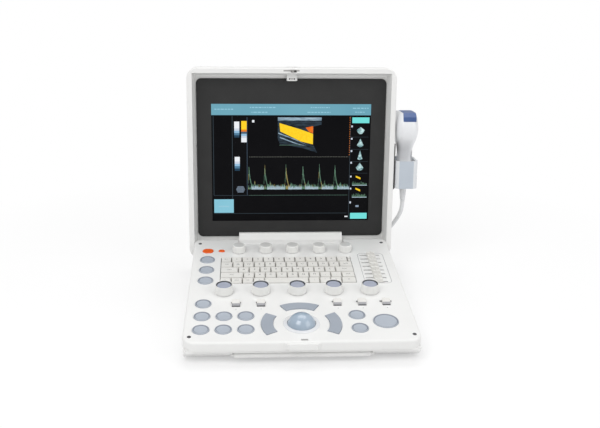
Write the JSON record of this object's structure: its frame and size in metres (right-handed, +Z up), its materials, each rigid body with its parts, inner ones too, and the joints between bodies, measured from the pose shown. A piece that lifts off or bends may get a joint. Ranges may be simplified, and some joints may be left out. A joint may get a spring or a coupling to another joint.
{
  "type": "portable ultrasound scanner",
  "caption": "Portable ultrasound scanner: wedge base with a key and dial deck, trackball and keyboard, tilting display lid, probe in a side cup with its coiled cord",
  "frame": {"origin": "on the floor under the middle of the object, without its free cord", "axes": "+X to the user's right, +Y away from the user, +Z up"},
  "size_m": [0.355, 0.4713, 0.3248],
  "materials": {
    "white_shell": "fine satin texture",
    "light_grey_plastic": "satin",
    "grey_key": "satin",
    "white_key": "satin",
    "white_knob": "semi gloss",
    "orange_key": "semi gloss",
    "ball": "polished",
    "bezel": "fine matte",
    "display": "hard coated",
    "dark_plastic": "matte",
    "board": "solder resist",
    "steel": "plain",
    "black_rubber": "moulded",
    "lens": "smooth silicone",
    "cord": "smooth jacket"
  },
  "bodies": {
    "base": {"upper_shell": "white_shell", "lower_shell": "white_shell", "control_board": "board", "main_board": "board", "battery_pack": "dark_plastic", "rubber_pads": "black_rubber", "deck_plugs": "black_rubber", "case_screws": "steel", "trackball_cup": "light_grey_plastic", "hinge_pins": "steel", "probe_cord": "cord", "cord_coil": "cord", "probe_plug": "light_grey_plastic"},
    "lid": {"lid_back": "white_shell", "lid_frame": "white_shell", "screen_bezel": "bezel", "display_module": "display", "hinge_cover": "white_shell", "probe_holder": "light_grey_plastic", "probe_housing": "white_shell", "probe_lens": "lens", "probe_strain_relief": "cord"},
    "keys_rear_left": {"keys_rear_left": "grey_key"},
    "keys_front_left": {"keys_front_left": "grey_key"},
    "keys_front_middle": {"keys_front_middle": "grey_key"},
    "keys_front_right": {"keys_front_right": "grey_key"},
    "key_enter": {"key_enter": "grey_key"},
    "power_key": {"power_key": "orange_key"},
    "standby_key": {"standby_key": "orange_key"},
    "arc_key_left": {"arc_key_left": "grey_key"},
    "arc_key_rear": {"arc_key_rear": "grey_key"},
    "arc_key_right": {"arc_key_right": "grey_key"},
    "keyboard": {"keyboard": "white_key"},
    "dial_1": {"dial_1": "white_knob"},
    "dial_2": {"dial_2": "white_knob"},
    "dial_3": {"dial_3": "white_knob"},
    "dial_4": {"dial_4": "white_knob"},
    "dial_5": {"dial_5": "white_knob"},
    "pot_knob_1": {"pot_knob_1": "white_knob"},
    "pot_knob_2": {"pot_knob_2": "white_knob"},
    "pot_knob_3": {"pot_knob_3": "white_knob"},
    "pot_knob_4": {"pot_knob_4": "white_knob"},
    "pot_knob_5": {"pot_knob_5": "white_knob"},
    "toggle_1": {"toggle_1": "white_key"},
    "toggle_2": {"toggle_2": "white_key"},
    "toggle_3": {"toggle_3": "white_key"},
    "toggle_4": {"toggle_4": "white_key"},
    "toggle_5": {"toggle_5": "white_key"},
    "fader_1": {"fader_1": "white_key"},
    "fader_2": {"fader_2": "white_key"},
    "fader_3": {"fader_3": "white_key"},
    "fader_4": {"fader_4": "white_key"},
    "fader_5": {"fader_5": "white_key"},
    "fader_6": {"fader_6": "white_key"},
    "fader_7": {"fader_7": "white_key"},
    "fader_8": {"fader_8": "white_key"},
    "trackball": {"trackball": "ball"},
    "carry_handle": {"carry_handle": "white_shell"},
    "latch_slider": {"latch_slider": "white_shell"},
    "fan_rotor": {"fan_rotor": "dark_plastic"}
  },
  "joints": [
    {"name": "lid_tilt", "type": "hinge", "parent": "base", "child": "lid", "pos_m": [-0.019, 0.10416, 0.04837], "axis": [1, 0, 0], "range_deg": [-20, 99.5], "deforming": ["probe_cord"]},
    {"name": "keys_rear_left_travel", "type": "slide", "parent": "base", "child": "keys_rear_left", "axis": [0, 0.0872, -0.9962], "range_m": [0, 0.0015], "stiffness_N_per_m": 300, "springref_m": -0.003},
    {"name": "keys_front_left_travel", "type": "slide", "parent": "base", "child": "keys_front_left", "axis": [0, 0.0872, -0.9962], "range_m": [0, 0.0015], "stiffness_N_per_m": 300, "springref_m": -0.003},
    {"name": "keys_front_middle_travel", "type": "slide", "parent": "base", "child": "keys_front_middle", "axis": [0, 0.0872, -0.9962], "range_m": [0, 0.0015], "stiffness_N_per_m": 300, "springref_m": -0.003},
    {"name": "keys_front_right_travel", "type": "slide", "parent": "base", "child": "keys_front_right", "axis": [0, 0.0872, -0.9962], "range_m": [0, 0.0015], "stiffness_N_per_m": 300, "springref_m": -0.003},
    {"name": "key_enter_travel", "type": "slide", "parent": "base", "child": "key_enter", "axis": [0, 0.0872, -0.9962], "range_m": [0, 0.0015], "stiffness_N_per_m": 300, "springref_m": -0.003},
    {"name": "power_key_travel", "type": "slide", "parent": "base", "child": "power_key", "axis": [0, 0.0872, -0.9962], "range_m": [0, 0.0015], "stiffness_N_per_m": 300, "springref_m": -0.003},
    {"name": "standby_key_travel", "type": "slide", "parent": "base", "child": "standby_key", "axis": [0, 0.0872, -0.9962], "range_m": [0, 0.0015], "stiffness_N_per_m": 300, "springref_m": -0.003},
    {"name": "arc_key_left_travel", "type": "slide", "parent": "base", "child": "arc_key_left", "axis": [0, 0.0872, -0.9962], "range_m": [0, 0.0015], "stiffness_N_per_m": 300, "springref_m": -0.003},
    {"name": "arc_key_rear_travel", "type": "slide", "parent": "base", "child": "arc_key_rear", "axis": [0, 0.0872, -0.9962], "range_m": [0, 0.0015], "stiffness_N_per_m": 300, "springref_m": -0.003},
    {"name": "arc_key_right_travel", "type": "slide", "parent": "base", "child": "arc_key_right", "axis": [0, 0.0872, -0.9962], "range_m": [0, 0.0015], "stiffness_N_per_m": 300, "springref_m": -0.003},
    {"name": "keyboard_travel", "type": "slide", "parent": "base", "child": "keyboard", "axis": [0, 0.0872, -0.9962], "range_m": [0, 0.002], "stiffness_N_per_m": 900, "springref_m": -0.004},
    {"name": "dial_1_turn", "type": "hinge", "parent": "base", "child": "dial_1", "pos_m": [-0.1196, -0.04712, 0.04267], "axis": [0, -0.0872, 0.9962], "continuous": true},
    {"name": "dial_2_turn", "type": "hinge", "parent": "base", "child": "dial_2", "pos_m": [-0.0693, -0.04712, 0.04267], "axis": [0, -0.0872, 0.9962], "continuous": true},
    {"name": "dial_3_turn", "type": "hinge", "parent": "base", "child": "dial_3", "pos_m": [-0.019, -0.04712, 0.04267], "axis": [0, -0.0872, 0.9962], "continuous": true},
    {"name": "dial_4_turn", "type": "hinge", "parent": "base", "child": "dial_4", "pos_m": [0.0313, -0.04712, 0.04267], "axis": [0, -0.0872, 0.9962], "continuous": true},
    {"name": "dial_5_turn", "type": "hinge", "parent": "base", "child": "dial_5", "pos_m": [0.0816, -0.04712, 0.04267], "axis": [0, -0.0872, 0.9962], "continuous": true},
    {"name": "pot_knob_1_turn", "type": "hinge", "parent": "base", "child": "pot_knob_1", "pos_m": [-0.1, 0.0782, 0.05363], "axis": [0, -0.0872, 0.9962], "range_deg": [-150, 150]},
    {"name": "pot_knob_2_turn", "type": "hinge", "parent": "base", "child": "pot_knob_2", "pos_m": [-0.0595, 0.0782, 0.05363], "axis": [0, -0.0872, 0.9962], "range_deg": [-150, 150]},
    {"name": "pot_knob_3_turn", "type": "hinge", "parent": "base", "child": "pot_knob_3", "pos_m": [-0.019, 0.0782, 0.05363], "axis": [0, -0.0872, 0.9962], "range_deg": [-150, 150]},
    {"name": "pot_knob_4_turn", "type": "hinge", "parent": "base", "child": "pot_knob_4", "pos_m": [0.0215, 0.0782, 0.05363], "axis": [0, -0.0872, 0.9962], "range_deg": [-150, 150]},
    {"name": "pot_knob_5_turn", "type": "hinge", "parent": "base", "child": "pot_knob_5", "pos_m": [0.062, 0.0782, 0.05363], "axis": [0, -0.0872, 0.9962], "range_deg": [-150, 150]},
    {"name": "toggle_1_rock", "type": "hinge", "parent": "base", "child": "toggle_1", "pos_m": [-0.1029, -0.07964, 0.0358], "axis": [1, 0, 0], "range_deg": [-12, 12], "stiffness_Nm_per_rad": 0.06},
    {"name": "toggle_2_rock", "type": "hinge", "parent": "base", "child": "toggle_2", "pos_m": [-0.0696, -0.07964, 0.0358], "axis": [1, 0, 0], "range_deg": [-12, 12], "stiffness_Nm_per_rad": 0.06},
    {"name": "toggle_3_rock", "type": "hinge", "parent": "base", "child": "toggle_3", "pos_m": [0.0328, -0.07964, 0.0358], "axis": [1, 0, 0], "range_deg": [-12, 12], "stiffness_Nm_per_rad": 0.06},
    {"name": "toggle_4_rock", "type": "hinge", "parent": "base", "child": "toggle_4", "pos_m": [0.0662, -0.07964, 0.0358], "axis": [1, 0, 0], "range_deg": [-12, 12], "stiffness_Nm_per_rad": 0.06},
    {"name": "toggle_5_rock", "type": "hinge", "parent": "base", "child": "toggle_5", "pos_m": [0.099, -0.07964, 0.0358], "axis": [1, 0, 0], "range_deg": [-12, 12], "stiffness_Nm_per_rad": 0.06},
    {"name": "fader_1_slide", "type": "slide", "parent": "base", "child": "fader_1", "axis": [1, 0, 0], "range_m": [-0.013, 0.009]},
    {"name": "fader_2_slide", "type": "slide", "parent": "base", "child": "fader_2", "axis": [1, 0, 0], "range_m": [-0.013, 0.009]},
    {"name": "fader_3_slide", "type": "slide", "parent": "base", "child": "fader_3", "axis": [1, 0, 0], "range_m": [-0.013, 0.009]},
    {"name": "fader_4_slide", "type": "slide", "parent": "base", "child": "fader_4", "axis": [1, 0, 0], "range_m": [-0.013, 0.009]},
    {"name": "fader_5_slide", "type": "slide", "parent": "base", "child": "fader_5", "axis": [1, 0, 0], "range_m": [-0.013, 0.009]},
    {"name": "fader_6_slide", "type": "slide", "parent": "base", "child": "fader_6", "axis": [1, 0, 0], "range_m": [-0.013, 0.009]},
    {"name": "fader_7_slide", "type": "slide", "parent": "base", "child": "fader_7", "axis": [1, 0, 0], "range_m": [-0.013, 0.009]},
    {"name": "fader_8_slide", "type": "slide", "parent": "base", "child": "fader_8", "axis": [1, 0, 0], "range_m": [-0.013, 0.009]},
    {"name": "trackball_roll", "type": "hinge", "parent": "base", "child": "trackball", "pos_m": [-0.0185, -0.13041, 0.03086], "axis": [1, 0, 0], "continuous": true},
    {"name": "carry_handle_swing", "type": "hinge", "parent": "base", "child": "carry_handle", "pos_m": [-0.019, -0.1637, 0.0102], "axis": [-1, 0, 0], "range_deg": [0, 170]},
    {"name": "latch_slide", "type": "slide", "parent": "lid", "child": "latch_slider", "axis": [1, 0, 0], "range_m": [0, 0.004], "stiffness_N_per_m": 200, "springref_m": -0.006},
    {"name": "fan_spin", "type": "hinge", "parent": "base", "child": "fan_rotor", "pos_m": [0.093, 0.0433, 0.0115], "axis": [0, 0, 1], "continuous": true}
  ]
}
